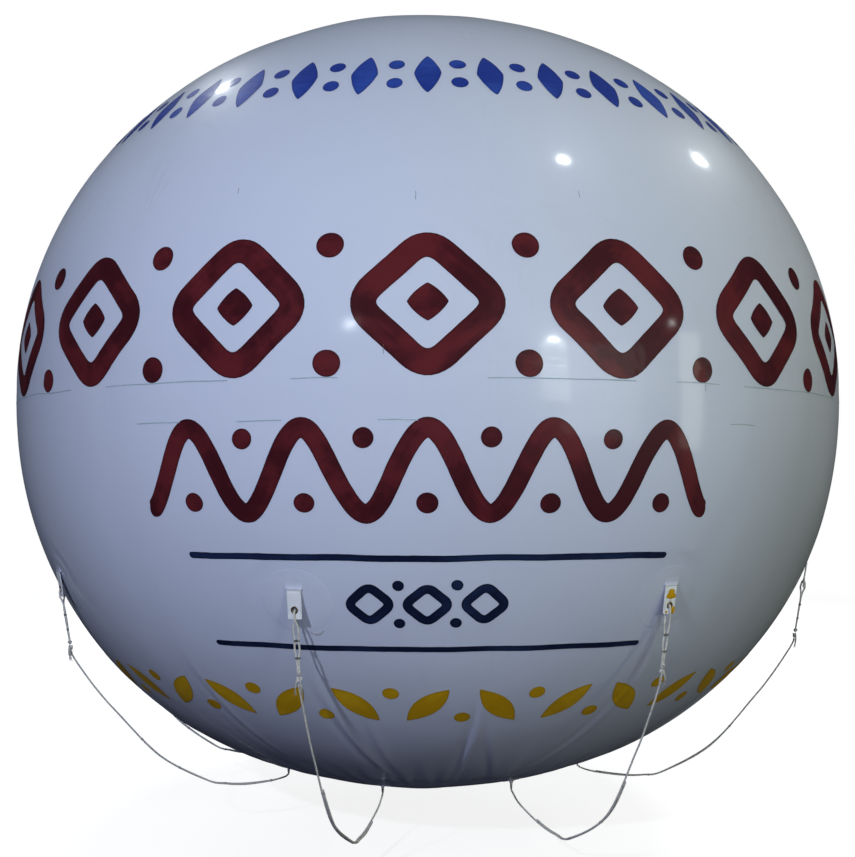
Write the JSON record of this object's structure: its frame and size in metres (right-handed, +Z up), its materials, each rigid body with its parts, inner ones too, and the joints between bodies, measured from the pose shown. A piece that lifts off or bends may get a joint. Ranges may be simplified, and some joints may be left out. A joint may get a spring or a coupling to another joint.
{
  "type": "advertising sky balloon",
  "caption": "Tethered helium sky balloon: oblate welded film envelope, ring of load tabs with eyelets, slack handling ropes to the belly and a capped air valve.",
  "frame": {"origin": "centre of the envelope at its widest level, where the air holds it up", "axes": "+Z up from belly valve to crown; the centre of the artwork faces -Y; +X to the right of someone who looks at the artwork"},
  "size_m": [3.66, 3.66, 3.4563],
  "materials": {
    "film": "glossy white film, painted with brushed colour bands",
    "doubler": "glossy white film, welded",
    "tab": "satin white coated strap with a brass eyelet",
    "rope": "laid off-white rope",
    "valve": "moulded dark plastic"
  },
  "bodies": {
    "root": {"upper_gore_1": "film", "upper_gore_2": "film", "upper_gore_3": "film", "upper_gore_4": "film", "upper_gore_5": "film", "upper_gore_6": "film", "upper_gore_7": "film", "upper_gore_8": "film", "lower_gore_1": "film", "lower_gore_2": "film", "lower_gore_3": "film", "lower_gore_4": "film", "lower_gore_5": "film", "lower_gore_6": "film", "lower_gore_7": "film", "lower_gore_8": "film", "crown_panel": "film", "belly_panel": "film", "doubler_1": "doubler", "doubler_2": "doubler", "doubler_3": "doubler", "doubler_4": "doubler", "doubler_5": "doubler", "doubler_6": "doubler", "doubler_7": "doubler", "doubler_8": "doubler", "rope_1": "rope", "rope_2": "rope", "rope_3": "rope", "rope_4": "rope", "rope_5": "rope", "rope_6": "rope", "rope_7": "rope", "rope_8": "rope", "valve_body": "valve"},
    "tab_1": {"load_tab_1": "tab", "hanger_1": "rope"},
    "tab_2": {"load_tab_2": "tab", "hanger_2": "rope"},
    "tab_3": {"load_tab_3": "tab", "hanger_3": "rope"},
    "tab_4": {"load_tab_4": "tab", "hanger_4": "rope"},
    "tab_5": {"load_tab_5": "tab", "hanger_5": "rope"},
    "tab_6": {"load_tab_6": "tab", "hanger_6": "rope"},
    "tab_7": {"load_tab_7": "tab", "hanger_7": "rope"},
    "tab_8": {"load_tab_8": "tab", "hanger_8": "rope"},
    "cap": {"valve_cap": "valve"}
  },
  "joints": [
    {"name": "tab_1_swing", "type": "hinge", "parent": "root", "child": "tab_1", "pos_m": [-0.44349, -1.63231, -0.74682], "axis": [-0.965, 0.2622, 0], "range_deg": [-8, 75]},
    {"name": "tab_2_swing", "type": "hinge", "parent": "root", "child": "tab_2", "pos_m": [0.84062, -1.46781, -0.74682], "axis": [-0.8678, -0.497, 0], "range_deg": [-8, 75]},
    {"name": "tab_3_swing", "type": "hinge", "parent": "root", "child": "tab_3", "pos_m": [1.63231, -0.44349, -0.74682], "axis": [-0.2622, -0.965, 0], "range_deg": [-8, 75]},
    {"name": "tab_4_swing", "type": "hinge", "parent": "root", "child": "tab_4", "pos_m": [1.46781, 0.84062, -0.74682], "axis": [0.497, -0.8678, 0], "range_deg": [-8, 75]},
    {"name": "tab_5_swing", "type": "hinge", "parent": "root", "child": "tab_5", "pos_m": [0.44349, 1.63231, -0.74682], "axis": [0.965, -0.2622, 0], "range_deg": [-8, 75]},
    {"name": "tab_6_swing", "type": "hinge", "parent": "root", "child": "tab_6", "pos_m": [-0.84062, 1.46781, -0.74682], "axis": [0.8678, 0.497, 0], "range_deg": [-8, 75]},
    {"name": "tab_7_swing", "type": "hinge", "parent": "root", "child": "tab_7", "pos_m": [-1.63231, 0.44349, -0.74682], "axis": [0.2622, 0.965, 0], "range_deg": [-8, 75]},
    {"name": "tab_8_swing", "type": "hinge", "parent": "root", "child": "tab_8", "pos_m": [-1.46781, -0.84062, -0.74682], "axis": [-0.497, 0.8678, 0], "range_deg": [-8, 75]},
    {"name": "valve_cap_off", "type": "slide", "parent": "root", "child": "cap", "axis": [0, 0, -1], "range_m": [0, 0.06]}
  ]
}
